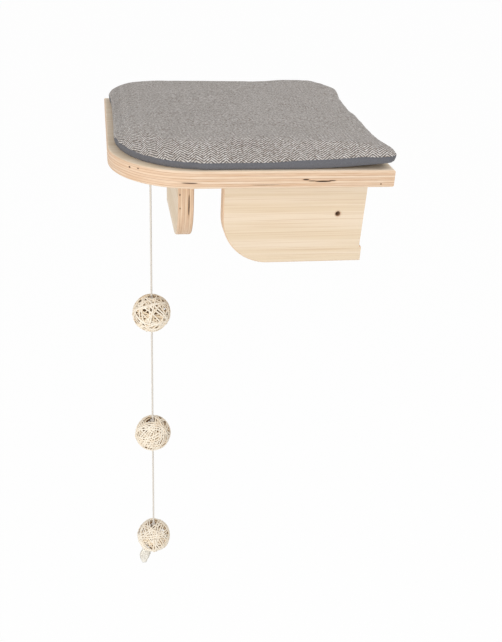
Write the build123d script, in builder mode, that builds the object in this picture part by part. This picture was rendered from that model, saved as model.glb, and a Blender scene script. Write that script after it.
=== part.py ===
from math import asin, atan, cos, degrees, radians, sin, sqrt, tan
import os

from build123d import *

# Corner platform for a cat: a plywood board that fills the corner between two walls, on two plywood
# brackets, with a loose cushion on top and a toy string with three rattan balls under its free corner.
# +Y points into the back wall, +X towards the right wall and +Z up. The origin is the centre of the
# board's back edge, the face that meets the back wall. All sizes are in millimetres and degrees.

# Board
board_side = 330.0
board_thickness = 21.0
board_corner_radius = 98.0
board_edge_radius = 2.5

# Brackets
bracket_height = 135.0
bracket_thickness = 21.0
bracket_edge_distance = 90.0
bracket_end_gap = 31.0
bracket_corner_radius = 62.0
bracket_edge_bevel = 1.2
toe_height = 19.5
toe_step = 3.0
bolt_hole_radius = 3.25
bolt_hole_from_wall = 37.0
bolt_hole_drop = 67.5

# Screws and dowels that join the brackets to the board
screw_length = 60.0
screw_radius = 2.5
screw_head_radius = 5.0
screw_tip_length = 6.0
screw_recess_width = 1.2
screw_recess_depth = 2.0
screw_hole_clearance = 0.25
screws_from_wall = (50.0, 140.0)
dowel_length = 40.0
dowel_radius = 4.0
dowel_in_board = 14.0
dowels_from_wall = (22.0, 168.0)
snug_clearance = 0.1

# Cushion
cushion_clearance = 0.3
cushion_edge_gap = 5.0
cushion_wall_gap = 1.0
cushion_height = 31.0
cushion_seam_height = 9.5
cushion_small_radius = 14.0
cushion_draw_in = 2.5
cover_thickness = 1.6

# Toy string
cord_radius = 1.25
cord_inset = 48.5
cord_hole_radius = 2.25
cord_clearance = 0.3
cord_bend_length = 15.0
knot_recess_radius = 6.5
knot_recess_depth = 7.5
top_knot_radius = 5.0
top_knot_height = 6.0
top_knot_bevel = 1.5
knot_radius = 4.0
ball_radius = 25.0
first_ball_drop = 182.0
ball_pitch = 187.5
vine_width = 2.0
vine_thickness = 1.8
polar_gap_radius = 4.6
tail_reach = 12.0
tail_drop = 22.3
fray_length = 33.0
fray_width = 17.0
fray_drift_distance = 2.5
fray_depth = 6.0
fray_bevel = 1.0

# What a cut runs past the piece that it cuts
overrun = 1.0

# Sizes and places that follow. Each bracket ends a gap short of the other one's plane.
bracket_length = board_side - bracket_edge_distance - bracket_thickness - bracket_end_gap
board_top = board_thickness / 2
board_bottom = -board_thickness / 2
left_edge = -board_side / 2
right_wall = board_side / 2
front_edge = -board_side
cord_x = left_edge + cord_inset
cord_y = front_edge + cord_inset

os.makedirs("parts", exist_ok=True)


def keep(piece, label):
    piece.part.label = label
    export_step(piece.part, f"parts/{label}.step")


# The right bracket runs along X to the right wall, and the back bracket along Y to the back wall. On
# each plane x is the distance from the wall, y is up from the board's underside and z is the thickness.
right_bracket_plane = Plane(
    origin=(right_wall, front_edge + bracket_edge_distance, board_bottom),
    x_dir=(-1, 0, 0),
    z_dir=(0, 1, 0),
)
back_bracket_plane = Plane(
    origin=(left_edge + bracket_edge_distance + bracket_thickness, 0, board_bottom),
    x_dir=(0, -1, 0),
    z_dir=(-1, 0, 0),
)


def joint_places(distances_from_wall):
    """Points on the board's underside, over the middle of both brackets."""
    return [
        plane.from_local_coords((distance, 0, bracket_thickness / 2))
        for plane in (right_bracket_plane, back_bracket_plane)
        for distance in distances_from_wall
    ]


def on_level(places, level):
    return [(place.X, place.Y, level) for place in places]


screw_places = joint_places(screws_from_wall)
dowel_places = joint_places(dowels_from_wall)

# Board: a square of plywood with one large round at the free corner and its edges eased all round. It is
# drilled from above for the screws, from below for the dowels, and right through for the cord.
with BuildPart() as platform_top:
    with BuildSketch(Plane.XY.offset(board_bottom)) as board_outline:
        with Locations((0, front_edge / 2)):
            Rectangle(board_side, board_side)
        fillet(board_outline.vertices().sort_by(lambda v: v.X + v.Y)[0], board_corner_radius)
    extrude(amount=board_thickness)
    fillet(platform_top.faces().filter_by(Axis.Z).edges(), board_edge_radius)
    with Locations(on_level(screw_places, board_top)):
        CounterSinkHole(
            radius=screw_radius + screw_hole_clearance,
            counter_sink_radius=screw_head_radius + screw_hole_clearance,
            counter_sink_angle=90,
        )
    with BuildSketch(Plane.XY.offset(board_bottom)):
        with Locations([(place.X, place.Y) for place in dowel_places]):
            Circle(dowel_radius + snug_clearance)
    extrude(amount=dowel_in_board + snug_clearance, mode=Mode.SUBTRACT)
    with Locations((cord_x, cord_y, board_top)):
        CounterBoreHole(
            radius=cord_hole_radius,
            counter_bore_radius=knot_recess_radius,
            counter_bore_depth=knot_recess_depth,
        )
keep(platform_top, "platform_top")


# Brackets: plywood on edge, with a large round at the free lower corner. The back edge leans away from
# the wall, down to a toe that bears on it. A bolt to the wall fitting goes through the hole.
def bracket(plane):
    with BuildPart() as shelf_bracket:
        with BuildSketch(plane) as profile:
            with BuildLine():
                Polyline(
                    (0, 0),
                    (bracket_length, 0),
                    (bracket_length, -bracket_height),
                    (0, -bracket_height),
                    (0, toe_height - bracket_height),
                    (toe_step, toe_height - bracket_height),
                    close=True,
                )
            make_face()
            fillet(profile.vertices().sort_by(lambda v: v.X - v.Y)[-1], bracket_corner_radius)
        extrude(amount=bracket_thickness)
        free_edges = []
        for edge in shelf_bracket.faces().filter_by(plane).edges():
            middle = plane.to_local_coords(edge @ 0.5)
            if middle.X > bolt_hole_from_wall and middle.Y < -overrun:
                free_edges.append(edge)
        chamfer(free_edges, bracket_edge_bevel)
        with BuildSketch(plane):
            with Locations((bolt_hole_from_wall, -bolt_hole_drop)):
                Circle(bolt_hole_radius)
        extrude(amount=bracket_thickness, mode=Mode.SUBTRACT)
        with BuildSketch(Plane.XY.offset(board_bottom)):
            with Locations([(place.X, place.Y) for place in dowel_places]):
                Circle(dowel_radius + snug_clearance)
        extrude(amount=dowel_in_board - dowel_length - snug_clearance, mode=Mode.SUBTRACT)
        with BuildSketch(Plane.XY.offset(board_bottom)):
            with Locations([(place.X, place.Y) for place in screw_places]):
                Circle(screw_radius + snug_clearance)
        extrude(amount=board_thickness - screw_length - overrun, mode=Mode.SUBTRACT)
    return shelf_bracket


keep(bracket(right_bracket_plane), "right_bracket")
keep(bracket(back_bracket_plane), "back_bracket")

# Screws: four countersunk wood screws, driven down through the board into the brackets' top edges.
with BuildPart() as wood_screw:
    with BuildSketch(Plane.XZ):
        with BuildLine():
            Polyline(
                (0, 0),
                (screw_head_radius, 0),
                (screw_radius, screw_radius - screw_head_radius),
                (screw_radius, screw_tip_length - screw_length),
                (0, -screw_length),
                close=True,
            )
        make_face()
    revolve(axis=Axis.Z)
    with BuildSketch():
        Rectangle(2 * screw_radius, screw_recess_width)
        Rectangle(screw_recess_width, 2 * screw_radius)
    extrude(amount=-screw_recess_depth, mode=Mode.SUBTRACT)
with BuildPart() as bracket_screws:
    with Locations(on_level(screw_places, board_top)):
        add(wood_screw.part)
keep(bracket_screws, "bracket_screws")

# Dowels: four beech dowels that keep the brackets in line on the board.
with BuildPart() as dowels:
    with BuildSketch(Plane.XY.offset(board_bottom + dowel_in_board)):
        with Locations([(place.X, place.Y) for place in dowel_places]):
            Circle(dowel_radius)
    extrude(amount=-dowel_length)
keep(dowels, "dowels")

# Cushion: a form that is widest near its seam and swells to a crown, with its sides drawn in between the
# corners. Each pair is a level as a share of the height, and the outline's size there as a share.
crown_shares = (
    (0.0, 0.96),
    (0.25, 1.0),
    (0.6, 0.975),
    (0.86, 0.88),
    (1.0, 0.6),
)
cushion_side = board_side - cushion_edge_gap - cushion_wall_gap
cushion_x = right_wall - cushion_wall_gap - cushion_side / 2
cushion_y = -cushion_wall_gap - cushion_side / 2
cushion_base = board_top + cushion_clearance
half = cushion_side / 2
free_radius = board_corner_radius - cushion_edge_gap
wall_corners = (lambda v: v.X + v.Y, lambda v: v.X - v.Y, lambda v: v.Y - v.X)
with BuildSketch() as cushion_outline:
    with BuildLine():
        ThreePointArc((-half, -half), (0, cushion_draw_in - half), (half, -half))
        ThreePointArc((half, -half), (half - cushion_draw_in, 0), (half, half))
        ThreePointArc((half, half), (0, half - cushion_draw_in), (-half, half))
        ThreePointArc((-half, half), (cushion_draw_in - half, 0), (-half, -half))
    make_face()
    fillet(cushion_outline.vertices().sort_by(lambda v: v.X + v.Y)[0], free_radius)
    for towards in wall_corners:
        fillet(cushion_outline.vertices().sort_by(towards)[-1], cushion_small_radius)
with BuildPart() as outer_form:
    for height_share, size_share in crown_shares:
        level = cushion_base + height_share * cushion_height
        with BuildSketch(Plane(origin=(cushion_x, cushion_y, level))):
            add(cushion_outline.sketch)
            scale(by=size_share)
    loft(ruled=True)

# Inside, the covers are lined flat: straight sides, and a few flats round the free corner.
crown_bands = list(zip(crown_shares, crown_shares[1:]))
corner_flats = 4
reach = half - cushion_draw_in
flat_radius = free_radius - cushion_draw_in
turns = [radians(90 * step / corner_flats) for step in range(corner_flats + 1)]
with BuildSketch() as lining_outline:
    free_corner = [
        (flat_radius * (1 - cos(turn)) - reach, flat_radius * (1 - sin(turn)) - reach) for turn in turns
    ]
    Polygon((reach, reach), (-reach, reach), *free_corner, (reach, -reach), align=None)
    for towards in wall_corners:
        chamfer(lining_outline.vertices().sort_by(towards)[-1], cushion_small_radius / 2)


def lining_form(shrink):
    """The cushion's form with flat faces, smaller all round by shrink."""
    with BuildPart() as form:
        for (height_share, size_share), (next_height_share, next_size_share) in crown_bands:
            level = cushion_base + shrink + height_share * (cushion_height - 2 * shrink)
            rise = (next_height_share - height_share) * (cushion_height - 2 * shrink)
            inset = shrink + (1 - size_share) * half
            narrowing = (size_share - next_size_share) * half
            with BuildSketch(Plane(origin=(cushion_x, cushion_y, level))):
                add(lining_outline.sketch)
                offset(amount=-inset, kind=Kind.INTERSECTION)
            extrude(amount=rise, taper=degrees(atan(narrowing / rise)))
    return form


inner_form = lining_form(cover_thickness)
seam_plane = Plane.XY.offset(cushion_base + cushion_seam_height)
with BuildPart() as cushion_top_cover:
    add(outer_form.part)
    add(inner_form.part, mode=Mode.SUBTRACT)
    split(bisect_by=seam_plane, keep=Keep.TOP)
keep(cushion_top_cover, "cushion_top_cover")
with BuildPart() as cushion_base_cover:
    add(outer_form.part)
    add(inner_form.part, mode=Mode.SUBTRACT)
    split(bisect_by=seam_plane, keep=Keep.BOTTOM)
keep(cushion_base_cover, "cushion_base_cover")
keep(lining_form(cover_thickness + cushion_clearance), "cushion_filling")


# Knots: a barrel of flat faces.
def knot(base, height, radius, bevel):
    with BuildPart() as tied:
        with BuildSketch(Plane.XY.offset(base)):
            with Locations((cord_x, cord_y)):
                RegularPolygon(radius=radius, side_count=8)
        extrude(amount=height)
        chamfer(tied.faces().filter_by(Axis.Z).edges(), bevel)
    return tied


def cord_run(top, bottom, flexes=False):
    """A straight run of cord, whose top end is bevelled where it flexes there."""
    with BuildPart() as run:
        with BuildSketch(Plane.XY.offset(bottom)):
            with Locations((cord_x, cord_y)):
                Circle(cord_radius)
        if flexes:
            bevel = cord_radius * cord_bevel_share
            extrude(amount=top + bevel - bottom)
            chamfer(run.faces().sort_by(Axis.Z)[-1].edges(), bevel)
        else:
            extrude(amount=top - bottom)
    return run


# The cord is knotted in a recess under the cushion and hangs out of the board. It first flexes at the
# hole's mouth, one way there and the other way a short bend lower down.
cord_bevel_share = 0.5
recess_floor = board_top - knot_recess_depth
exit_flex = board_bottom - cord_radius - cord_clearance
bend_flex = exit_flex - cord_bend_length
keep(knot(recess_floor, top_knot_height, top_knot_radius, top_knot_bevel), "top_knot")
keep(cord_run(recess_floor, exit_flex + cord_radius + cord_clearance), "cord_in_board")
keep(cord_run(exit_flex, bend_flex + cord_radius + cord_clearance, True), "cord_top")


# Rattan balls: hoops of split vine, glued where they cross. Three of them leave a gap at each pole for
# the cord. Each row is a hoop's tilt and turn in degrees, and its depth as a share of the vine.
hoop_sides = 16
polar_tilt = 90 - degrees(asin(polar_gap_radius / ball_radius))
polar_turns = (15, 135, 255)
hoop_shares = (
    (62, 22, 0.0),
    (57, 96, 0.4),
    (64, 161, 0.7),
    (50, 231, 0.2),
    (56, 302, 0.6),
    (18, 130, 0.3),
)


def rattan_hoop(tilt, turn, depth_share):
    radius = ball_radius - depth_share * vine_thickness
    facing = Plane(Location((0, 0, 0), (0, 0, turn)) * Location((0, 0, 0), (0, tilt, 0)))
    with BuildPart() as hoop:
        with BuildSketch(facing):
            RegularPolygon(radius=radius, side_count=hoop_sides)
            RegularPolygon(radius=radius - vine_thickness, side_count=hoop_sides, mode=Mode.SUBTRACT)
        extrude(amount=vine_width / 2, both=True)
    return hoop.part


vines = [rattan_hoop(polar_tilt, turn, 0) for turn in polar_turns]
vines += [rattan_hoop(tilt, turn, depth_share) for tilt, turn, depth_share in hoop_shares]
with BuildPart() as rattan_ball:
    add(vines)

# The knot inside each ball bears on the three hoops round its upper gap.
knot_body_share = 0.925
knot_bevel_share = 0.55
gap_radius = polar_gap_radius - vine_width / 2
vine_inside = (ball_radius - vine_thickness) * cos(radians(180 / hoop_sides))
half_knot = knot_radius * knot_body_share
knot_bevel = knot_radius * knot_bevel_share
knot_seat = knot_radius + cord_clearance
knot_rise = sqrt(vine_inside**2 - gap_radius**2) - sqrt(knot_seat**2 - gap_radius**2)

# Each ball hangs on the knot of the cord above it, and carries the cord below it.
names = ("upper", "middle", "lower")
ball_turns = (0, 75, 290)
run_top = bend_flex
for number, name in enumerate(names):
    ball_centre = board_bottom - first_ball_drop - number * ball_pitch
    knot_centre = ball_centre + knot_rise
    keep(cord_run(run_top, knot_centre + knot_seat, number == 0), f"cord_{name}")
    keep(knot(knot_centre - half_knot, 2 * half_knot, half_knot, knot_bevel), f"{name}_knot")
    with BuildPart() as placed_ball:
        with Locations(Location((cord_x, cord_y, ball_centre), (0, 0, ball_turns[number]))):
            add(rattan_ball.part)
    keep(placed_ball, f"rattan_ball_{name}")
    run_top = knot_centre - knot_seat

# Below the last knot the cord's tail leaves the ball through a gap at its lower left.
tail_bend_share = 1 / 3
tail_arc_share = 0.45
tail_level = ball_centre - tail_drop
tail_bend = (cord_x, ball_centre - tail_drop * tail_bend_share)
tail_turn = atan(tail_reach / (tail_bend[1] - tail_level))
tail_end = (cord_x - tail_reach - overrun * tan(tail_turn), tail_level - overrun)
first_run = run_top - tail_bend[1]
second_run = (tail_bend[1] - tail_end[1]) / cos(tail_turn)
tail_radius = tail_arc_share * min(first_run, second_run) / tan(tail_turn / 2)
print("cord tail: runs", round(first_run, 1), round(second_run, 1), "radius", round(tail_radius, 1))
cord_plane = Plane(origin=(0, cord_y, 0), x_dir=(1, 0, 0), z_dir=(0, -1, 0))
with BuildPart() as cord_tail:
    with BuildLine(cord_plane):
        FilletPolyline((cord_x, run_top), tail_bend, tail_end, radius=tail_radius)
    with BuildSketch(Plane.XY.offset(run_top)):
        with Locations((cord_x, cord_y)):
            Circle(cord_radius)
    sweep()
    split(bisect_by=Plane.XY.offset(tail_level), keep=Keep.TOP)
keep(cord_tail, "cord_tail")

# The tail's end is frayed out to a flat tuft. Each row is a level, a width and a drift to the left, as
# shares of the tuft's length, width and drift.
fray_shares = (
    (0.0, 0.2, 0.0),
    (0.2, 0.62, 0.1),
    (0.42, 1.0, 0.4),
    (0.72, 0.76, 0.8),
    (0.92, 0.42, 1.0),
    (1.0, 0.2, 1.0),
)
left_side = [
    (-drift_share * fray_drift_distance - width_share * fray_width / 2, -level_share * fray_length)
    for level_share, width_share, drift_share in fray_shares
]
right_side = [
    (-drift_share * fray_drift_distance + width_share * fray_width / 2, -level_share * fray_length)
    for level_share, width_share, drift_share in fray_shares
]
tuft_plane = Plane(origin=(cord_x - tail_reach, cord_y, tail_level), x_dir=(1, 0, 0), z_dir=(0, -1, 0))
with BuildPart() as frayed_end:
    with BuildSketch(tuft_plane):
        Polygon(*left_side, *reversed(right_side), align=None)
    extrude(amount=fray_depth / 2, both=True)
    flat_edges = frayed_end.faces().filter_by(Axis.Y).edges()
    loose_edges = [edge for edge in flat_edges if (edge @ 0.5).Z < tail_level - overrun]
    chamfer(loose_edges, fray_bevel)
keep(frayed_end, "frayed_end")
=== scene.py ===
import math
import random

import bmesh
import bpy
from mathutils import Matrix, Vector, noise


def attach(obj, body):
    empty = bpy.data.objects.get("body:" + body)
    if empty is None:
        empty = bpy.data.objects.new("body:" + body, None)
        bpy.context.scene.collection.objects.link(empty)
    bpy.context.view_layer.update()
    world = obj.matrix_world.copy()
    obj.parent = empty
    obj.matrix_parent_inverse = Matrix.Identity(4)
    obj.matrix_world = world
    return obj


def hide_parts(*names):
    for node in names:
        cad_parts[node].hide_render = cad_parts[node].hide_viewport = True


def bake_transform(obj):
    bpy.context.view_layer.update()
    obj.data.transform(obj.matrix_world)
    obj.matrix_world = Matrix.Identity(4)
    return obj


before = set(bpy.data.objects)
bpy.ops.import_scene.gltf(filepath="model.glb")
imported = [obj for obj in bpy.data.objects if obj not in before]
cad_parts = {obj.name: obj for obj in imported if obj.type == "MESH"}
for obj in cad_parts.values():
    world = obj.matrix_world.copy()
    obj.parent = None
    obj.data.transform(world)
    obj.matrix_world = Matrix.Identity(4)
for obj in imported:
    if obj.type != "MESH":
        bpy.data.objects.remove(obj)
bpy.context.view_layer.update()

# Corner platform for a cat. All lengths are in metres, in the model's own frame: +Y runs into the back
# wall, +X towards the right wall, and the origin is the centre of the board's back edge.

# ---------------------------------------------------------------------------------------------------
# Board: birch plywood of seven 3 mm plies, sawn, rounded at the free corner and sanded smooth. Each ply's
# grain runs square to its neighbours', so its edge shows bands of long grain and of end grain.
# ---------------------------------------------------------------------------------------------------


def linear(colour):
    """An sRGB hex colour as linear red, green, blue and alpha."""
    shares = [int(colour[place : place + 2], 16) / 255 for place in (1, 3, 5)]
    return [s / 12.92 if s <= 0.04045 else ((s + 0.055) / 1.055) ** 2.4 for s in shares] + [1.0]


def add_node(material, kind, inputs=None, out=0, **settings):
    """Adds a shader node with its settings and its inputs' values or links, and returns one output."""
    made = material.node_tree.nodes.new("ShaderNode" + kind)
    for name, value in settings.items():
        setattr(made, name, value)
    for socket, value in (inputs or {}).items():
        if isinstance(value, bpy.types.NodeSocket):
            material.node_tree.links.new(value, made.inputs[socket])
        else:
            made.inputs[socket].default_value = value
    return made.outputs[out]


def finish_surface(material, colour, roughness, height=None, relief=0.0, **constants):
    """Joins a colour, a roughness and a height, which relief turns to metres, to the surface."""
    surface = material.node_tree.nodes["Principled BSDF"]
    for socket, value in constants.items():
        surface.inputs[socket.replace("_", " ")].default_value = value
    material.node_tree.links.new(colour, surface.inputs["Base Color"])
    if isinstance(roughness, bpy.types.NodeSocket):
        material.node_tree.links.new(roughness, surface.inputs["Roughness"])
    else:
        surface.inputs["Roughness"].default_value = roughness
    if height is not None:
        bump = add_node(material, "Bump", {"Strength": 1.0, "Distance": relief, "Height": height})
        material.node_tree.links.new(bump, surface.inputs["Normal"])


def birch_plywood(name, across, along, first_face, gaps):
    """Birch plywood. across runs through the plies from first_face (mm), along is the face grain, and
    gaps are holes in the core veneers: each a centre and half sizes, in mm."""
    ply = 3.0
    glue_line = 0.35  # drawn twice as wide as the real one, to show
    third = Vector(across).cross(Vector(along))
    wood = bpy.data.materials.new(name)
    wood.use_nodes = True
    place = add_node(wood, "TexCoord", out="Object")
    facing = place.node.outputs["Normal"]
    place = add_node(wood, "VectorMath", {0: place, "Scale": 1000.0}, operation="SCALE")
    depth = add_node(wood, "VectorMath", {0: place, 1: across}, "Value", operation="DOT_PRODUCT")
    depth = add_node(wood, "Math", {0: depth, 1: first_face}, operation="SUBTRACT")
    number = add_node(wood, "Math", {0: depth, 1: ply}, operation="DIVIDE")
    number = add_node(wood, "Math", {0: number}, operation="FLOOR")
    crosswise = add_node(wood, "Math", {0: number, 1: 2.0}, operation="FLOORED_MODULO")

    # How far the surface cuts across the plies, the long plies' grain and the cross plies' grain
    cuts = []
    for direction in (across, along, third):
        cut = add_node(wood, "VectorMath", {0: facing, 1: direction}, "Value", operation="DOT_PRODUCT")
        cuts.append(add_node(wood, "Math", {0: cut}, operation="ABSOLUTE"))
    endness = add_node(wood, "Mix", {0: crosswise, 2: cuts[1], 3: cuts[2]})
    endness = add_node(wood, "Math", {0: endness, 1: 0.75}, operation="MULTIPLY")
    face_share = add_node(
        wood, "MapRange", {0: cuts[0], 1: 0.75, 2: 0.95}, interpolation_type="SMOOTHSTEP"
    )

    # Streaks, each with its length along the grain, its depth in the plies and its width, in mm
    streaks = {}
    for streak, run, deep, wide, detail in (
        ("fine", 26.0, 0.42, 26.0, 3.0),
        ("broad", 60.0, 1.6, 60.0, 2.0),
        ("lines", 210.0, 3.0, 1.7, 2.0),
        ("stripes", 420.0, 9.0, 8.0, 2.0),
    ):
        sizes = [abs(a) / deep + abs(b) / run + abs(c) / wide for a, b, c in zip(across, along, third)]
        scaled = add_node(wood, "VectorMath", {0: place, 1: sizes}, operation="MULTIPLY")
        streaks[streak] = add_node(
            wood,
            "TexNoise",
            {"Vector": scaled, "Scale": 1.0, "Detail": detail, "Roughness": 0.6, "Distortion": 0.3},
        )

    # Each share turns a streak or a distance to a blend: what it reads, from, to, least and most
    shares = {}
    line_distance = add_node(wood, "Math", {0: depth, 1: ply / 2}, operation="PINGPONG")
    for share, source, start, end, least, most in (
        ("long", streaks["fine"], 0.35, 0.7, 0.0, 1.0),
        ("end", streaks["fine"], 0.3, 0.65, 0.0, 1.0),
        ("pale", streaks["broad"], 0.45, 0.75, 0.0, 0.35),
        ("glue", line_distance, glue_line, 0.1, 0.0, 1.0),
        ("glue shows", streaks["broad"], 0.35, 0.6, 0.25, 0.85),
        ("stripes", streaks["stripes"], 0.36, 0.64, 0.0, 1.0),
        ("lines", streaks["lines"], 0.5, 0.68, 0.0, 0.55),
        ("gloss", streaks["fine"], 0.2, 0.8, 0.5, 0.66),
    ):
        shares[share] = add_node(
            wood,
            "MapRange",
            {0: source, 1: start, 2: end, 3: least, 4: most},
            interpolation_type="SMOOTHSTEP",
        )
    glue = add_node(wood, "Math", {0: shares["glue"], 1: shares["glue shows"]}, operation="MULTIPLY")

    # Edge: bands of long and end grain, streaked, with brown glue lines that come and go
    long_grain = {0: shares["long"], 6: linear("#f2dbc2"), 7: linear("#e5c4a3")}
    long_grain = add_node(wood, "Mix", long_grain, 2, data_type="RGBA")
    end_grain = {0: shares["end"], 6: linear("#eacaab"), 7: linear("#d3ab88")}
    end_grain = add_node(wood, "Mix", end_grain, 2, data_type="RGBA")
    edge = add_node(wood, "Mix", {0: endness, 6: long_grain, 7: end_grain}, 2, data_type="RGBA")
    edge = add_node(wood, "Mix", {0: shares["pale"], 6: edge, 7: linear("#f4e1cd")}, 2, data_type="RGBA")
    edge = add_node(wood, "Mix", {0: glue, 6: edge, 7: linear("#b98a63")}, 2, data_type="RGBA")

    # Face: rotary-cut birch, nearly plain, with fine lines and soft broad stripes along the grain
    face = {0: shares["stripes"], 6: linear("#f1dfc8"), 7: linear("#ead6ba")}
    face = add_node(wood, "Mix", face, 2, data_type="RGBA")
    face = add_node(wood, "Mix", {0: shares["lines"], 6: face, 7: linear("#d8bb98")}, 2, data_type="RGBA")
    colour = add_node(wood, "Mix", {0: face_share, 6: edge, 7: face}, 2, data_type="RGBA")
    height = add_node(wood, "Mix", {0: face_share, 2: streaks["fine"], 3: streaks["lines"]})
    height = add_node(wood, "Math", {0: height, 1: 0.25}, operation="MULTIPLY")

    # Gaps in the core veneers: slots painted dark, as painted shade in their hollow, with a brown rim
    for centre, halves in gaps:
        reach = add_node(wood, "VectorMath", {0: place, 1: centre}, operation="SUBTRACT")
        reach = add_node(wood, "VectorMath", {0: reach, 1: halves}, operation="DIVIDE")
        reach = add_node(wood, "VectorMath", {0: reach}, "Value", operation="LENGTH")
        # The dark tint is painted shade in the gap's hollow, and the brown tint is a rim round it
        for tint, start, end, most in (("#b07f55", 1.9, 0.9, 0.5), ("#3c2313", 1.12, 0.85, 1.0)):
            stain_and_shade = {0: reach, 1: start, 2: end, 4: most}
            stain_and_shade = add_node(wood, "MapRange", stain_and_shade, interpolation_type="SMOOTHSTEP")
            colour = add_node(wood, "Mix", {0: stain_and_shade, 6: colour, 7: linear(tint)}, 2, data_type="RGBA")
        height = add_node(wood, "Math", {0: height, 1: stain_and_shade}, operation="SUBTRACT")
    finish_surface(wood, colour, shares["gloss"], height, 0.00025, Specular_IOR_Level=0.35)
    return wood


def refinish(node, material):
    """Gives a node of the model its finish."""
    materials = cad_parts[node].data.materials
    materials.clear()
    materials.append(material)


board_plywood = birch_plywood(
    "birch plywood, board",
    across=(0, 0, 1),
    along=(1, 0, 0),
    first_face=-10.5,
    gaps=(
        ((58.5, -330.0, 0.0), (3.6, 6.0, 0.75)),
        ((66.0, -330.0, -1.6), (4.5, 6.0, 0.45)),
        ((79.0, -330.0, -2.2), (9.5, 6.0, 0.8)),
        ((90.0, -330.0, -1.3), (4.0, 6.0, 0.45)),
        ((-75.5, -330.0, -3.2), (9.0, 6.0, 0.55)),
        ((148.9, -330.0, -6.1), (0.8, 6.0, 0.7)),
        ((-140.8, -296.4, 5.2), (1.3, 1.3, 0.9)),
        ((-131.7, -305.6, 6.4), (1.2, 1.2, 0.6)),
        ((12.0, -330.0, -6.0), (17.0, 6.0, 0.22)),
        ((-165.0, -120.0, 1.5), (6.0, 11.0, 0.6)),
    ),
)
refinish("platform_top", board_plywood)

# ---------------------------------------------------------------------------------------------------
# Brackets: the same plywood on edge under the board, their face grain level. A bolt hole is drilled
# through each, painted dark inside as painted shade, with a brown rim round it.
# ---------------------------------------------------------------------------------------------------
right_bracket_plywood = birch_plywood(
    "birch plywood, right bracket",
    across=(0, 1, 0),
    along=(1, 0, 0),
    first_face=-240.0,
    gaps=(((128.0, -229.5, -78.0), (3.2, 40.0, 3.2)),),
)
refinish("right_bracket", right_bracket_plywood)
back_bracket_plywood = birch_plywood(
    "birch plywood, back bracket",
    across=(1, 0, 0),
    along=(0, 1, 0),
    first_face=-75.0,
    gaps=(
        ((-64.5, -37.0, -78.0), (40.0, 3.2, 3.2)),
        ((-60.6, -188.0, -84.0), (0.8, 8.0, 15.0)),
        ((-61.2, -188.0, -52.0), (0.6, 8.0, 9.0)),
        ((-72.6, -188.0, -69.0), (0.7, 6.0, 1.3)),
        ((-72.3, -188.0, -88.0), (0.6, 6.0, 1.0)),
    ),
)
refinish("back_bracket", back_bracket_plywood)

# ---------------------------------------------------------------------------------------------------
# Dowels: ribbed beech pins between the board and the brackets, glued in. Beech is pinkish, with short
# dark flecks along its grain.
# ---------------------------------------------------------------------------------------------------
beech = bpy.data.materials.new("beech")
beech.use_nodes = True
beech_grain = add_node(beech, "TexCoord", out="Object")
beech_grain = add_node(beech, "VectorMath", {0: beech_grain, 1: (1100, 1100, 160)}, operation="MULTIPLY")
beech_grain = add_node(beech, "TexNoise", {"Vector": beech_grain, "Scale": 1.0, "Detail": 3.0})
beech_colour = {0: beech_grain, 6: linear("#e4bd97"), 7: linear("#b98a62")}
beech_colour = add_node(beech, "Mix", beech_colour, 2, data_type="RGBA")
finish_surface(beech, beech_colour, 0.6, beech_grain, 0.0001)
refinish("dowels", beech)

# ---------------------------------------------------------------------------------------------------
# Screws: steel wood screws, zinc plated, driven from above and hidden by the cushion. Plating makes them
# a pale bluish silver with a soft, slightly uneven gloss.
# ---------------------------------------------------------------------------------------------------
zinc = bpy.data.materials.new("zinc-plated steel")
zinc.use_nodes = True
zinc_cloud = add_node(zinc, "TexCoord", out="Object")
zinc_cloud = add_node(zinc, "TexNoise", {"Vector": zinc_cloud, "Scale": 700.0, "Detail": 4.0})
zinc_colour = {0: zinc_cloud, 6: linear("#c9ccd0"), 7: linear("#a9adb3")}
zinc_colour = add_node(zinc, "Mix", zinc_colour, 2, data_type="RGBA")
zinc_roughness = add_node(zinc, "MapRange", {0: zinc_cloud, 3: 0.26, 4: 0.44})
finish_surface(zinc, zinc_colour, zinc_roughness, zinc_cloud, 0.00002, Metallic=1.0)
refinish("bracket_screws", zinc)

# ---------------------------------------------------------------------------------------------------
# Cushion: a loose flat pad, sewn from two panels and stuffed with wadding. Its outline follows the board
# with the sides drawn in between the corners, and its front right corner lifts off the board.
# ---------------------------------------------------------------------------------------------------
cushion_low = Vector((-0.1585, -0.3285, 0.0108))
cushion_high = Vector((0.1662, -0.001, 0.0418))
seam_rise = 0.0082
lower_turn = 0.16  # the share of the form's lower half in which the lower panel comes down to the board
corner_lift = 0.0080
free_corner_radius = 0.110
free_end_radius = 0.020
wall_corner_radius = 0.055
lifted_corner_radius = 0.010
cloth_thickness = 0.0012
half_side = (cushion_high.x - cushion_low.x) / 2


def cushion_outline(steps):
    """Points of the panels' outline, about the middle: a large round and three smaller ones."""
    corners = (
        (-1, -1, free_corner_radius, 180),
        (1, -1, lifted_corner_radius, 270),
        (1, 1, wall_corner_radius, 0),
        (-1, 1, free_end_radius, 90),
    )
    points = []
    for side_x, side_y, radius, start in corners:
        reach = half_side - radius
        for step in range(steps + 1):
            turn = math.radians(start + 90 * step / steps)
            x = side_x * reach + radius * math.cos(turn)
            y = side_y * reach + radius * math.sin(turn)
            points.append(Vector((x, y, 0)))
    return points


def spread_evenly(points, number):
    """The closed line through points, divided into equal lengths."""
    ring = points + points[:1]
    lengths = [(b - a).length for a, b in zip(ring, ring[1:])]
    total = sum(lengths)
    placed = []
    piece = 0
    gone = 0.0
    for step in range(number):
        wanted = total * step / number
        while gone + lengths[piece] < wanted:
            gone += lengths[piece]
            piece += 1
        placed.append(ring[piece].lerp(ring[piece + 1], (wanted - gone) / max(lengths[piece], 1e-9)))
    return placed


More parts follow.
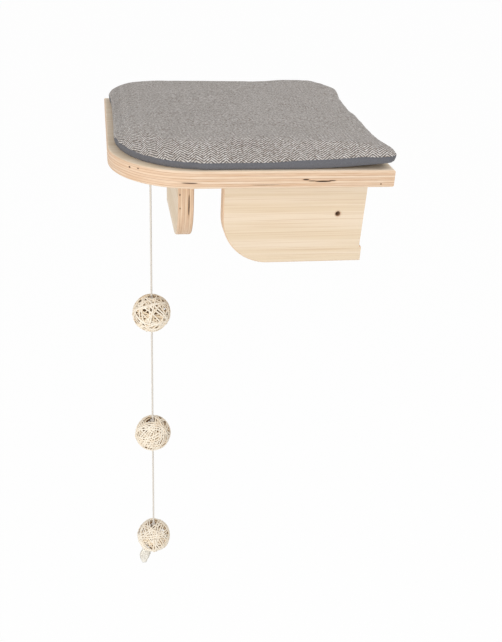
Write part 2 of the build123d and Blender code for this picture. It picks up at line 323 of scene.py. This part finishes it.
def join_rings(mesh, rings):
    """Skins a row of rings, and closes both ends."""
    sides = len(rings[0])
    for lower, upper in zip(rings, rings[1:]):
        for side in range(sides):
            after = (side + 1) % sides
            mesh.faces.new((lower[side], lower[after], upper[after], upper[side]))
    mesh.faces.new(list(reversed(rings[0])))
    mesh.faces.new(rings[-1])


def unstuffed_cushion():
    """The two panels just parted: a closed lens, thin at the seam."""
    rim = spread_evenly(cushion_outline(12), 240)
    # Each pair is a distance in from the seam, as a share of the half side, and half the thickness
    profile = (
        (0.0, 0.0),
        (0.012, 0.0035),
        (0.04, 0.0065),
        (0.12, 0.0085),
        (0.3, 0.0105),
        (0.6, 0.0115),
        (0.95, 0.012),
    )
    mesh = bmesh.new()
    rings = []
    levels = [(share, -rise) for share, rise in reversed(profile)] + list(profile[1:])
    for share, rise in levels:
        rings.append([mesh.verts.new((p.x * (1 - share), p.y * (1 - share), rise)) for p in rim])
    join_rings(mesh, rings)
    made = bpy.data.meshes.new("unstuffed")
    mesh.to_mesh(made)
    mesh.free()
    made = bpy.data.objects.new("unstuffed", made)
    bpy.context.scene.collection.objects.link(made)
    return made


def settled(piece, modifier):
    """Applies the piece's modifier and drops it."""
    graph = bpy.context.evaluated_depsgraph_get()
    shaped = bpy.data.meshes.new_from_object(piece.evaluated_get(graph))
    piece.modifiers.remove(modifier)
    piece.data = shaped


def stuff(piece, furthest):
    """Blows the panels up as the wadding does, by no more than furthest at any point."""
    start = [v.co.copy() for v in piece.data.vertices]
    cloth = piece.modifiers.new("stuffing", "CLOTH")
    cloth.settings.quality = 6
    cloth.settings.use_pressure = True
    cloth.settings.uniform_pressure_force = 4.0
    cloth.settings.effector_weights.gravity = 0.0
    cloth.settings.bending_stiffness = 1.5
    cloth.collision_settings.use_collision = False
    stuffing_frames = 20
    for number in range(1, stuffing_frames + 1):
        bpy.context.scene.frame_set(number)
    settled(piece, cloth)
    for vertex, before in zip(piece.data.vertices, start):
        move = vertex.co - before
        if move.length > furthest:
            vertex.co = before + move * (furthest / move.length)


def smooth_share(value, low, high):
    """A share that eases from 0 at low to 1 at high."""
    share = min(max((value - low) / (high - low), 0.0), 1.0)
    return share * share * (3 - 2 * share)


cushion = unstuffed_cushion()
voxels = cushion.modifiers.new("even cloth", "REMESH")
voxels.mode = "VOXEL"
voxels.voxel_size = 0.005
settled(cushion, voxels)
stuff(cushion, furthest=0.009)
finer = cushion.modifiers.new("finer cloth", "SUBSURF")
finer.levels = 1
finer.render_levels = 1
settled(cushion, finer)
form = bmesh.new()
form.from_mesh(cushion.data)
bpy.data.objects.remove(cushion)


def fabric_place(material):
    """Three outputs on cloth, in mm: the place, how far over it is, and how far down, also on steep sides."""
    place = add_node(material, "TexCoord", out="Object")
    place = add_node(material, "VectorMath", {0: place, "Scale": 1000.0}, operation="SCALE")
    over = add_node(material, "SeparateXYZ", {0: place})
    axes = over.node.outputs
    return place, over, add_node(material, "Math", {0: axes[1], 1: axes[2]}, operation="ADD")


# Top panel: a woven polyester herringbone with a soft face. Its twill lines change direction every few
# millimetres, light yarns over dark ones, which gives a warm grey with a fine zigzag.
herringbone = bpy.data.materials.new("herringbone cloth")
herringbone.use_nodes = True
twill_line = 4.0  # drawn a third coarser than the real one, which is too fine to show
twill_column = 8.5
place, over, run = fabric_place(herringbone)
slope = add_node(herringbone, "Math", {0: over, 1: twill_column}, operation="PINGPONG")
slope = add_node(herringbone, "Math", {0: run, 1: slope}, operation="ADD")
waviness = add_node(herringbone, "TexNoise", {"Vector": place, "Scale": 0.35, "Detail": 2.0})
twill = {0: slope, 1: 2 * math.pi / twill_line, 2: waviness}
twill = add_node(herringbone, "Math", twill, operation="MULTIPLY_ADD")
twill = add_node(herringbone, "Math", {0: twill}, operation="SINE")
slub = add_node(herringbone, "TexNoise", {"Vector": place, "Scale": 0.45, "Detail": 4.0})
patch = add_node(herringbone, "TexNoise", {"Vector": place, "Scale": 0.018, "Detail": 2.0})
light_share = {0: twill, 1: -0.9, 2: 0.9, 3: 0.08, 4: 0.92}
light_share = add_node(herringbone, "MapRange", light_share, interpolation_type="SMOOTHSTEP")
yarn = {0: light_share, 6: linear("#635f5c"), 7: linear("#d9d1cb")}
yarn = add_node(herringbone, "Mix", yarn, 2, data_type="RGBA")
slub_share = add_node(herringbone, "MapRange", {0: slub, 1: 0.3, 2: 0.7})
yarn = {0: 0.6, 6: yarn, 7: slub_share}
yarn = add_node(herringbone, "Mix", yarn, 2, data_type="RGBA", blend_type="OVERLAY")
yarn = add_node(herringbone, "Mix", {0: 0.12, 6: yarn, 7: patch}, 2, data_type="RGBA", blend_type="OVERLAY")
weave_height = add_node(herringbone, "Math", {0: twill, 1: slub}, operation="ADD")
finish_surface(
    herringbone,
    yarn,
    0.92,
    weave_height,
    0.00028,
    Sheen_Weight=0.12,
    Sheen_Roughness=0.5,
    Specular_IOR_Level=0.2,
)

# Base panel: a plain-woven dark grey polyester, sewn to the top panel all round. It is flat and tight,
# with a weave too fine to show, so its threads are drawn three times as coarse.
base_cloth = bpy.data.materials.new("dark plain cloth")
base_cloth.use_nodes = True
thread = 1.2
place, over, run = fabric_place(base_cloth)
weave = []
for way in (over, run):
    threads = add_node(base_cloth, "Math", {0: way, 1: 2 * math.pi / thread}, operation="MULTIPLY")
    weave.append(add_node(base_cloth, "Math", {0: threads}, operation="SINE"))
weave = add_node(base_cloth, "Math", {0: weave[0], 1: weave[1]}, operation="MULTIPLY")
mottle = add_node(base_cloth, "TexNoise", {"Vector": place, "Scale": 0.9, "Detail": 3.0})
dark_share = add_node(base_cloth, "MapRange", {0: weave, 1: -1.0, 2: 1.0, 3: 0.25, 4: 0.75})
dark_yarn = {0: dark_share, 6: linear("#636469"), 7: linear("#7b7b80")}
dark_yarn = add_node(base_cloth, "Mix", dark_yarn, 2, data_type="RGBA")
dark_yarn = {0: 0.3, 6: dark_yarn, 7: mottle}
dark_yarn = add_node(base_cloth, "Mix", dark_yarn, 2, data_type="RGBA", blend_type="OVERLAY")
finish_surface(base_cloth, dark_yarn, 0.9, weave, 0.00012, Sheen_Weight=0.1, Specular_IOR_Level=0.2)

form_low = Vector([min(v.co[axis] for v in form.verts) for axis in range(3)])
form_high = Vector([max(v.co[axis] for v in form.verts) for axis in range(3)])


# How much higher the seam stands in places, and how high the folds and waves of the panel are
front_seam_rise = 0.0026
free_corner_seam_rise = 0.0022
wall_corner_rise = 0.0022
broad_wave = 0.0009
narrow_wave = 0.0006
side_wave = 0.0009
packing_fold = 0.0007
soft_fold = 0.0005
packing_fold_width = 0.006
# How full the pad is along the back wall, and how slack in places, as shares of its height
back_fullness = 0.75
wall_corner_loss = 0.85
back_end_slack = 0.07
lifted_corner_slack = 0.38
wall_corner_slack = 0.20


def lay_panel(mesh):
    """Sizes the stuffed form to the board, lays it flat below, and lifts its front right corner."""
    size = cushion_high - cushion_low
    for vertex in mesh.verts:
        x = cushion_low.x + (vertex.co.x - form_low.x) / (form_high.x - form_low.x) * size.x
        y = cushion_low.y + (vertex.co.y - form_low.y) / (form_high.y - form_low.y) * size.y
        front = smooth_share(-y, 0.20, 0.30)
        lift = corner_lift * min(max((x - 0.05) / 0.112, 0.0), 1.0) ** 1.8 * smooth_share(-y, 0.19, 0.32)
        # The seam stands higher along the front's right half, and round the free corner
        front *= smooth_share(x, 0.01, 0.06) * (1 - smooth_share(x, 0.12, 0.15))
        seam = seam_rise + front_seam_rise * front
        free_corner = (1 - smooth_share(x, -0.1575, -0.125)) * smooth_share(-y, 0.10, 0.24)
        seam += free_corner_seam_rise * free_corner
        if vertex.co.z < 0:
            # The lower panel turns down steeply from the seam
            rise = lift + seam * (1 - min(vertex.co.z / form_low.z / lower_turn, 1.0) ** 0.8)
            vertex.co = (x, y, cushion_low.z + rise)
            continue
        # Pushed into the corner of the room, the pad is fuller along the back and right walls. It is
        # slack at the free end of the back wall and at the lifted corner.
        high = vertex.co.z / form_high.z
        back = smooth_share(y, -0.080, -0.012) * smooth_share(x, -0.165, -0.080)
        right = smooth_share(x, 0.100, 0.158) * (0.35 + 0.5 * smooth_share(y, -0.16, -0.03))
        between_walls = smooth_share(x, 0.142, 0.166) * smooth_share(y, -0.060, -0.025)
        full = max(back_fullness * back, right) * (1 - wall_corner_loss * between_walls)
        high += full * smooth_share(high, 0.02, 0.4) * (1 - high)
        high *= 1 - back_end_slack * (1 - smooth_share(x, -0.13, -0.05)) * smooth_share(y, -0.14, -0.03)
        high *= 1 - lifted_corner_slack * smooth_share(x, 0.11, 0.16) * smooth_share(-y, 0.19, 0.28)
        high *= 1 - wall_corner_slack * smooth_share(x, 0.142, 0.170) * smooth_share(y, -0.065, -0.025)
        wall_corner = wall_corner_rise * (smooth_share(x, 0.04, 0.10) + smooth_share(x, 0.10, 0.135))
        wall_corner *= (1 - smooth_share(x, 0.145, 0.168)) * smooth_share(y, -0.12, -0.03) * high
        # The wadding is a little uneven, and the panel ripples along the right wall. A fold from its
        # packing runs over the middle, and softer ones run in from the right.
        ripple = noise.noise(Vector((x * 9, y * 14, 3.1))) * broad_wave
        ripple += noise.noise(Vector((x * 22, y * 48, 7.7))) * narrow_wave * smooth_share(x, -0.05, 0.10)
        ripple += math.sin(y * 74 + 0.6) * side_wave * smooth_share(x, 0.09, 0.16)
        ripple += packing_fold * math.exp(-(((y + 0.221 - 0.128 * x) / packing_fold_width) ** 2))
        inner = smooth_share(x, 0.02, 0.08) * (1 - smooth_share(x, 0.12, 0.15))
        inner *= smooth_share(y, -0.22, -0.19) * (1 - smooth_share(y, -0.14, -0.10))
        ripple += soft_fold * math.sin((y + 0.35 * x) * 190) * inner
        ripple *= smooth_share(high, 0.1, 0.7)
        rise = seam + lift + high * (size.z - seam - 0.95 * lift) + wall_corner + ripple
        vertex.co = (x, y, cushion_low.z + rise)


def cut_panel(name, keep_upper, material, node):
    """One panel of the cushion: the form's upper or lower part, cut along the seam, as thick cloth."""
    panel = form.copy()
    bmesh.ops.bisect_plane(
        panel,
        geom=panel.verts[:] + panel.edges[:] + panel.faces[:],
        plane_co=(0, 0, 0),
        plane_no=(0, 0, 1),
        clear_inner=keep_upper,
        clear_outer=not keep_upper,
    )
    lay_panel(panel)
    for face in panel.faces:
        face.smooth = True
    mesh = bpy.data.meshes.new(name)
    panel.to_mesh(mesh)
    panel.free()
    made = bpy.data.objects.new(name, mesh)
    bpy.context.scene.collection.objects.link(made)
    mesh.materials.append(material)
    thick = made.modifiers.new("cloth thickness", "SOLIDIFY")
    thick.thickness = cloth_thickness
    thick.offset = -1.0
    settled(made, thick)
    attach(made, "cushion")
    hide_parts(node)
    return made


top_panel = cut_panel("cushion_top_panel", True, herringbone, "cushion_top_cover")
base_panel = cut_panel("cushion_base_panel", False, base_cloth, "cushion_base_cover")

# Filling: a batt of white polyester wadding inside the cover, seen by nobody until the cover is opened.
# It is soft crimped fibre, so it is white and quite matt, with a lumpy surface.
wadding = bpy.data.materials.new("polyester wadding")
wadding.use_nodes = True
fluff = add_node(wadding, "TexCoord", out="Object")
fluff = add_node(wadding, "TexNoise", {"Vector": fluff, "Scale": 260.0, "Detail": 5.0})
wadding_colour = {0: fluff, 6: linear("#e9e8e4"), 7: linear("#fbfaf6")}
wadding_colour = add_node(wadding, "Mix", wadding_colour, 2, data_type="RGBA")
finish_surface(wadding, wadding_colour, 1.0, fluff, 0.0012, Sheen_Weight=0.2)
batt_inset = 0.0019
batt = form.copy()
lay_panel(batt)
batt.normal_update()
for vertex in batt.verts:
    vertex.co -= vertex.normal * batt_inset
for face in batt.faces:
    face.smooth = True
batt_mesh = bpy.data.meshes.new("cushion_wadding")
batt.to_mesh(batt_mesh)
batt.free()
form.free()
batt_piece = bpy.data.objects.new("cushion_wadding", batt_mesh)
bpy.context.scene.collection.objects.link(batt_piece)
batt_mesh.materials.append(wadding)
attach(batt_piece, "cushion")
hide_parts("cushion_filling")

# ---------------------------------------------------------------------------------------------------
# Toy cord: three-strand twisted cotton, 2.5 mm thick and off-white, knotted on the board and inside each
# ball. It is cut here into the runs between its knots.
# ---------------------------------------------------------------------------------------------------
cord_width = 0.0025
cotton = bpy.data.materials.new("twisted cotton")
cotton.use_nodes = True
fibre = add_node(cotton, "TexCoord", out="Object")
fibre = add_node(cotton, "VectorMath", {0: fibre, 1: (2600, 2600, 700)}, operation="MULTIPLY")
fibre = add_node(cotton, "TexNoise", {"Vector": fibre, "Scale": 1.0, "Detail": 3.0})
cotton_colour = {0: fibre, 6: linear("#e6dfd6"), 7: linear("#d2cabf")}
cotton_colour = add_node(cotton, "Mix", cotton_colour, 2, data_type="RGBA")
finish_surface(cotton, cotton_colour, 0.95, fibre, 0.00012, Sheen_Weight=0.15)


def smooth_route(points):
    """Points along a route's smooth line, which has the route's points as its control points."""
    curve = bpy.data.curves.new("route", "CURVE")
    curve.dimensions = "3D"
    curve.resolution_u = 24
    spline = curve.splines.new("NURBS")
    spline.points.add(len(points) - 1)
    for control, place in zip(spline.points, points):
        control.co = (*place, 1.0)
    spline.order_u = 3
    spline.use_endpoint_u = True
    line = bpy.data.objects.new("route", curve)
    mesh = bpy.data.meshes.new_from_object(line)
    places = [vertex.co.copy() for vertex in mesh.vertices]
    bpy.data.objects.remove(line)
    return places


def evenly_along(places, gap):
    """The same line with its points about gap apart."""
    total = sum((b - a).length for a, b in zip(places, places[1:]))
    number = max(round(total / gap), 2)
    even = [places[0]]
    gone = 0.0
    for first, second in zip(places, places[1:]):
        length = (second - first).length
        while len(even) < number and gone + length >= total * len(even) / number:
            even.append(first.lerp(second, (total * len(even) / number - gone) / length))
        gone += length
    return even + [places[-1]]


def twisted_tube(mesh, line, width, lay=0.0085, strands=3, sides=18):
    """A twisted cord's skin along a line: the strands bulge, and turn once in each lay."""
    forward = (line[1] - line[0]).normalized()
    side = forward.orthogonal().normalized()
    gone = 0.0
    rings = []
    for number, place in enumerate(line):
        ahead = line[min(number + 1, len(line) - 1)] - line[max(number - 1, 0)]
        turn = forward.rotation_difference(ahead.normalized())
        side = turn @ side
        forward = ahead.normalized()
        other = forward.cross(side)
        if number:
            gone += (place - line[number - 1]).length
        ring = []
        for step in range(sides):
            angle = 2 * math.pi * step / sides
            lobe = abs(math.cos((angle - 2 * math.pi * gone / lay) * strands / 2))
            radius = width / 2 * (0.78 + 0.22 * lobe**0.6)
            ring.append(mesh.verts.new(place + (side * math.cos(angle) + other * math.sin(angle)) * radius))
        rings.append(ring)
    join_rings(mesh, rings)


def shown(name, mesh, material):
    """Makes a piece of the object from its mesh."""
    bmesh.ops.recalc_face_normals(mesh, faces=mesh.faces)
    for face in mesh.faces:
        face.smooth = True
    data = bpy.data.meshes.new(name)
    mesh.to_mesh(data)
    mesh.free()
    data.materials.append(material)
    made = bpy.data.objects.new(name, data)
    bpy.context.scene.collection.objects.link(made)
    return made


def cord_run(name, points, nodes):
    """One run of the cord, and the line that it follows."""
    line = evenly_along(smooth_route(points), 0.0006)
    mesh = bmesh.new()
    twisted_tube(mesh, line, cord_width)
    piece = shown(name, mesh, cotton)
    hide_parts(*nodes)
    return piece, line


def knot(name, middle, across, high, node, body):
    """An overhand knot: the cord's own width in a trefoil loop, pulled tight."""
    steps = 72
    bend = (across - cord_width) / 6
    tall = (high - cord_width) / 2
    loop = []
    for step in range(steps + 1):
        t = 2 * math.pi * step / steps
        loop.append(
            Vector(middle)
            + Vector(
                (
                    bend * (math.sin(t) + 2 * math.sin(2 * t)),
                    bend * (math.cos(t) - 2 * math.cos(2 * t)),
                    -tall * math.sin(3 * t),
                )
            )
        )
    mesh = bmesh.new()
    twisted_tube(mesh, loop, cord_width)
    piece = shown(name, mesh, cotton)
    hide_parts(node)
    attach(piece, body)
    return piece


# The upper run comes through the board from its knot in the recess above, and flexes below the hole in
# two bends close together.
cord_x = -0.1165
cord_y = -0.2815
join_z = -0.020
in_board, _ = cord_run(
    "cord_through_board",
    ((cord_x, cord_y, 0.003), (cord_x, cord_y, -0.0105), (cord_x, cord_y, join_z)),
    ["cord_in_board"],
)
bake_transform(in_board)
upper_run, upper_line = cord_run(
    "cord_to_upper_ball",
    ((cord_x, cord_y, join_z), (cord_x, cord_y, -0.095), (cord_x, cord_y, -0.168084)),
    ["cord_top", "cord_upper"],
)
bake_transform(upper_run)
middle_run, middle_line = cord_run(
    "cord_to_middle_ball",
    ((cord_x, cord_y, -0.176684), (cord_x, cord_y, -0.27), (cord_x, cord_y, -0.355584)),
    ["cord_middle"],
)
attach(middle_run, "upper_ball")
lower_run, lower_line = cord_run(
    "cord_to_lower_ball",
    ((cord_x, cord_y, -0.364184), (cord_x, cord_y, -0.455), (cord_x, cord_y, -0.543084)),
    ["cord_lower"],
)
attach(lower_run, "middle_ball")

# Below its last knot the cord leaves the ball to the lower left, and its end is teased out.
tail_run, tail_line = cord_run(
    "cord_tail_end",
    ((cord_x, cord_y, -0.551684), (cord_x, cord_y, -0.574933), (-0.1285, cord_y, -0.5898)),
    ["cord_tail"],
)
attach(tail_run, "lower_ball")
top_knot = knot("knot_on_board", (cord_x, cord_y, 0.0060), 0.0098, 0.0058, "top_knot", "platform")
knot_names = ("upper", "middle", "lower")
knot_levels = (-0.172384, -0.359884, -0.547384)
ball_knots = [
    knot(f"knot_in_{name}_ball", (cord_x, cord_y, level), 0.0074, 0.0052, f"{name}_knot", f"{name}_pivot")
    for name, level in zip(knot_names, knot_levels)
]

# ---------------------------------------------------------------------------------------------------
# Frayed end: the cotton's own fibres, untwisted and combed into a thin petal. Each is a fine soft thread
# that spreads out from the cord and falls back towards the tip.
# ---------------------------------------------------------------------------------------------------
loose_cotton = bpy.data.materials.new("combed cotton")
loose_cotton.use_nodes = True
loose_fibre = add_node(loose_cotton, "TexCoord", out="Object")
loose_fibre = add_node(loose_cotton, "TexNoise", {"Vector": loose_fibre, "Scale": 900.0, "Detail": 2.0})
loose_colour = {0: loose_fibre, 6: linear("#f9f5ec"), 7: linear("#eee9df")}
loose_colour = add_node(loose_cotton, "Mix", loose_colour, 2, data_type="RGBA")
finish_surface(loose_cotton, loose_colour, 0.95, loose_fibre, 0.00005)
fray_start = Vector((-0.1285, cord_y, -0.5885))
fray_length = 0.0335
fray_half_width = 0.0083
fray_half_depth = 0.0026
fray_drift = 0.0025
# Pairs of a share of the length and how far the tuft has spread there
fray_spread = ((0.0, 0.14), (0.12, 0.55), (0.3, 0.93), (0.45, 1.0), (0.7, 0.76), (0.88, 0.46), (1.0, 0.24))


def spread_at(share):
    """How far the tuft has spread at this share of its length."""
    for (low, first), (high, second) in zip(fray_spread, fray_spread[1:]):
        if share <= high:
            return first + (second - first) * (share - low) / (high - low)
    return fray_spread[-1][1]


def tuft_place(share, across, deep):
    """A place in the tuft: how far down, across and deep it is, as shares of its sizes."""
    spread = spread_at(share)
    drift = fray_drift * smooth_share(share, 0.1, 0.9)
    return fray_start + Vector(
        (across * spread * fray_half_width - drift, deep * spread * fray_half_depth, -share * fray_length)
    )


core_rings = 15
core_sides = 20
core_share = 0.93
fibre_steps = 12
fibre_corners = (0.0, 2.09, 4.19)
chance = random.Random(4)
tuft = bmesh.new()
# The fibres lie close together inside, as one soft body, and part at its surface
core = []
for step in range(core_rings):
    share = step / (core_rings - 1) * core_share
    ring = []
    for side in range(core_sides):
        turn = 2 * math.pi * side / core_sides
        place = tuft_place(share, core_share * math.cos(turn), core_share * math.sin(turn))
        ring.append(tuft.verts.new(place))
    core.append(ring)
join_rings(tuft, core)
for number in range(130):
    around = chance.uniform(0, 2 * math.pi)
    out = chance.uniform(0.88, 1.0)
    reach = chance.uniform(0.75, 1.0)
    waver = chance.uniform(0, 6.28)
    sway = chance.uniform(0.0001, 0.0003)
    half_thread = chance.uniform(0.00018, 0.00026)
    rings = []
    for step in range(fibre_steps + 1):
        share = step / fibre_steps * reach
        place = tuft_place(share, out * math.cos(around), out * math.sin(around))
        place += Vector((sway * math.sin(9 * share + waver), sway * math.cos(8 * share + waver), 0))
        thin = half_thread * (1 - 0.6 * step / fibre_steps)
        ring = []
        for turn in fibre_corners:
            ring.append(tuft.verts.new(place + Vector((thin * math.cos(turn), thin * math.sin(turn), 0))))
        rings.append(ring)
    join_rings(tuft, rings)
frayed = shown("frayed_cord_end", tuft, loose_cotton)
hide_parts("frayed_end")
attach(frayed, "lower_ball")

# ---------------------------------------------------------------------------------------------------
# Rattan balls: split vine wound at random round a hollow and glued where it crosses. The skinned vine is
# pale cream and browner on some strips; painted shade on its inward faces and deeper loops darkens the gaps.
# ---------------------------------------------------------------------------------------------------
rattan = bpy.data.materials.new("split rattan")
rattan.use_nodes = True
rattan_place = add_node(rattan, "TexCoord", out="Object")
grain = add_node(rattan, "TexNoise", {"Vector": rattan_place, "Scale": 900.0, "Detail": 3.0})
stain_and_shade = add_node(rattan, "TexNoise", {"Vector": rattan_place, "Scale": 110.0, "Detail": 2.0})
tone_and_depth_shade = add_node(rattan, "Attribute", out="Fac", attribute_name="tone_and_depth_shade")
inward_shade = add_node(rattan, "Attribute", out="Fac", attribute_name="inward_shade")
rattan_colour = linear("#fff8ea")
# The first coat is a random tone, darkened on the deeper loops as painted shade; the third coat is painted
# shade on the vine's inward faces
# Each coat goes over the last: what it reads, from, to, the most of it, and its colour
for source, start, end, most, tint in (
    (tone_and_depth_shade, 0.0, 1.0, 1.0, "#ecd3aa"),
    (stain_and_shade, 0.52, 0.8, 0.3, "#e3bf90"),
    (inward_shade, 0.0, 1.0, 1.0, "#e0c297"),
    (grain, 0.35, 0.7, 0.15, "#b98e5c"),
):
    share = add_node(rattan, "MapRange", {0: source, 1: start, 2: end, 4: most})
    coat = {0: share, 6: rattan_colour, 7: linear(tint)}
    rattan_colour = add_node(rattan, "Mix", coat, 2, data_type="RGBA")
finish_surface(rattan, rattan_colour, 0.5, grain, 0.00012, Specular_IOR_Level=0.4)

ball_radius = 0.025
vine_thickness = 0.0013
# The vine's corners round its line: each a turn in degrees, and how much painted shade it gets there, most on
# its inward side
vine_section = ((0, 0.5), (50, 0), (90, 0), (130, 0), (180, 0.5), (270, 1))
strand_pitch = 0.0030
# What the vine keeps clear of: the cord on its way in and out, its knot, and the cord's leaning tail
upper_gap = 0.0044
lower_gap = 0.0026
knot_gap = 0.0052
tail_gap = 0.0030
knot_place = Vector((0, 0, 0.805 * ball_radius))
loop_steps = 60
golden_turn = math.pi * (3 - math.sqrt(5))  # spreads the loops' axes evenly over the ball


def loop_line(first, second, axis, beside, depth, wave, dip):
    """One turn of vine round the ball, wavering to its sides and in depth."""
    places = []
    for step in range(loop_steps):
        t = 2 * math.pi * step / loop_steps
        out = beside + sum(size * math.sin(times * t + start) for times, size, start in wave)
        radius = ball_radius - vine_thickness / 2 - depth - dip[0] * (1 + math.sin(5 * t + dip[1]))
        level = math.sqrt(max(radius * radius - out * out, 1e-9))
        places.append(first * (level * math.cos(t)) + second * (level * math.sin(t)) + axis * out)
    return places


def in_the_way(place, tail):
    """Whether vine at this place would close the cord's way in or out, or touch its knot."""
    from_cord = math.hypot(place.x, place.y)
    if place.z > 0 and (from_cord < upper_gap or (place - knot_place).length < knot_gap):
        return True
    if tail is None:
        return place.z < 0 and from_cord < lower_gap
    return any((place - point).length < tail_gap for point in tail)


def wound_ball(name, middle, bundles, strands, seed, tail=None):
    """A ball of bundles of vine loops that point every way, every third bundle deeper than the others."""
    chance = random.Random(seed)
    mesh = bmesh.new()
    # Each corner carries a random tone darkened as painted shade on deeper loops, and painted shade on the
    # vine's inward faces
    tone_and_depth_shade_layer = mesh.verts.layers.float.new("tone_and_depth_shade")
    inward_shade_layer = mesh.verts.layers.float.new("inward_shade")
    wound = 0
    while wound < bundles:
        level = 1 - (wound + 0.5) / bundles
        around = golden_turn * wound
        axis = Vector((math.cos(around), math.sin(around), 0)) * math.sqrt(1 - level * level)
        axis += Vector((chance.gauss(0, 0.2), chance.gauss(0, 0.2), level + chance.gauss(0, 0.2)))
        axis.normalize()
        first = axis.orthogonal().normalized()
        second = axis.cross(first)
        shift = chance.uniform(-0.0085, 0.0085)
        wave = [(times, chance.uniform(0, 0.0011), chance.uniform(0, 6.28)) for times in (2, 3)]
        inner = wound % 3 == 0
        depth = chance.uniform(0.0018, 0.0032) if inner else chance.uniform(0.0, 0.0012)
        dip = (chance.uniform(0.0001, 0.0004), chance.uniform(0, 6.28))
        loops = []
        for strand in range(strands):
            beside = shift + (strand - (strands - 1) / 2) * strand_pitch
            lower = depth + chance.uniform(0.0, 0.0005)
            loops.append(loop_line(first, second, axis, beside, lower, wave, dip))
        if any(in_the_way(place, tail) for loop in loops for place in loop):
            continue
        wound += 1
        for loop in loops:
            # Deeper loops are painted darker, as painted shade; within each range the tone is random
            shade = chance.uniform(0.3, 0.7) if inner else chance.uniform(0.0, 0.35)
            half = chance.uniform(0.0009, 0.0012)
            rings = []
            for number, place in enumerate(loop):
                outward = place.normalized()
                ahead = (loop[(number + 1) % loop_steps] - loop[number - 1]).normalized()
                sideways = ahead.cross(outward).normalized()
                ring = []
                for turn, inside in vine_section:
                    angle = math.radians(turn)
                    offset = sideways * (half * math.cos(angle))
                    offset += outward * (vine_thickness / 2 * math.sin(angle))
                    corner = mesh.verts.new(Vector(middle) + place + offset)
                    corner[tone_and_depth_shade_layer] = shade
                    corner[inward_shade_layer] = inside
                    ring.append(corner)
                rings.append(ring)
            for number, ring in enumerate(rings):
                following = rings[(number + 1) % loop_steps]
                for side in range(len(ring)):
                    after = (side + 1) % len(ring)
                    mesh.faces.new((ring[side], ring[after], following[after], following[side]))
    return shown(name, mesh, rattan)


ball_levels = (-0.1925, -0.38, -0.5675)
upper_ball = wound_ball("rattan_upper", (cord_x, cord_y, ball_levels[0]), 52, 1, 11)
middle_ball = wound_ball("rattan_middle", (cord_x, cord_y, ball_levels[1]), 26, 2, 23)
lower_middle = Vector((cord_x, cord_y, ball_levels[2]))
lower_ball = wound_ball(
    "rattan_lower", lower_middle, 23, 2, 37, tail=[place - lower_middle for place in tail_line]
)
balls = (upper_ball, middle_ball, lower_ball)
for name, ball in zip(knot_names, balls):
    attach(ball, f"{name}_ball")
    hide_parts(f"rattan_ball_{name}")

# ---------------------------------------------------------------------------------------------------
# Room: a plain white floor a metre below, soft light from the front left and from above on the right, and
# the photograph's viewpoint, which looks down at the platform from its left.
# ---------------------------------------------------------------------------------------------------
floor_level = -1.15
floor_half_side = 20.0
paper_glow = 0.97
studio_light = 0.54
floor_mesh = bmesh.new()
bmesh.ops.create_grid(floor_mesh, x_segments=1, y_segments=1, size=floor_half_side)
floor_data = bpy.data.meshes.new("floor")
floor_mesh.to_mesh(floor_data)
floor_mesh.free()
floor = bpy.data.objects.new("floor", floor_data)
floor.location = (0, 0, floor_level)
bpy.context.scene.collection.objects.link(floor)
paper = bpy.data.materials.new("white paper")
paper.use_nodes = True
floor_data.materials.append(paper)
world = bpy.data.worlds.new("studio")
bpy.context.scene.world = world
world.use_nodes = True

# Whatever looks straight at the paper and the studio, or sees them in metal, sees white
seen = {}
for room in (paper, world):
    rays = add_node(room, "LightPath", out="Is Camera Ray")
    others = rays.node.outputs
    rays = add_node(room, "Math", {0: rays, 1: others["Is Glossy Ray"]}, operation="MAXIMUM")
    seen[room.name] = add_node(room, "Math", {0: rays, 1: others["Is Transmission Ray"]}, operation="MAXIMUM")
sheet = paper.node_tree.nodes["Principled BSDF"]
sheet.inputs["Base Color"].default_value = linear("#f4f4f2")
sheet.inputs["Roughness"].default_value = 0.9
glow_share = add_node(paper, "Math", {0: seen["white paper"], 1: paper_glow}, operation="MULTIPLY")
glow = add_node(paper, "Emission", {"Color": (1, 1, 1, 1), "Strength": 1.0})
glow = add_node(paper, "MixShader", {0: glow_share, 1: sheet.outputs[0], 2: glow})
paper.node_tree.links.new(glow, paper.node_tree.nodes["Material Output"].inputs["Surface"])
sky = world.node_tree.nodes["Background"]
sky.inputs["Color"].default_value = (1, 1, 1, 1)
sky_light = add_node(world, "MapRange", {0: seen["studio"], 3: studio_light, 4: 1.0})
world.node_tree.links.new(sky_light, sky.inputs["Strength"])


def softbox(name, place, size, power):
    """A square lamp of this size (m) and power (W), turned towards the platform."""
    lamp = bpy.data.lights.new(name, "AREA")
    lamp.shape = "SQUARE"
    lamp.size = size
    lamp.energy = power
    made = bpy.data.objects.new(name, lamp)
    made.location = place
    platform_middle = Vector((0, -0.17, -0.05))
    aim = platform_middle - Vector(place)
    made.rotation_euler = aim.to_track_quat("-Z", "Y").to_euler()
    bpy.context.scene.collection.objects.link(made)


softbox("front light", place=(-1.4, -2.4, 0.45), size=1.8, power=38.0)
softbox("top light", place=(1.5, -0.3, 1.6), size=1.6, power=16.5)

camera_data = bpy.data.cameras.new("viewpoint")
camera_data.lens = 46.51
camera_data.sensor_width = 36.0
camera_data.clip_end = 100.0
eye = (-0.17133, -1.21753, 0.30988)
pitch = math.radians(28.57)
yaw = math.radians(11.134)
roll = math.radians(3.202)
look = Vector((math.sin(yaw) * math.cos(pitch), math.cos(yaw) * math.cos(pitch), -math.sin(pitch)))
level = Vector((math.cos(yaw), -math.sin(yaw), 0))
upright = level.cross(look)
right = level * math.cos(roll) + upright * math.sin(roll)
up = upright * math.cos(roll) - level * math.sin(roll)
camera = bpy.data.objects.new("viewpoint", camera_data)
facing = Matrix((right, up, -look)).transposed().to_4x4()
camera.matrix_world = Matrix.Translation(eye) @ facing
bpy.context.scene.collection.objects.link(camera)
bpy.context.scene.camera = camera
bpy.context.scene.view_settings.view_transform = "Standard"
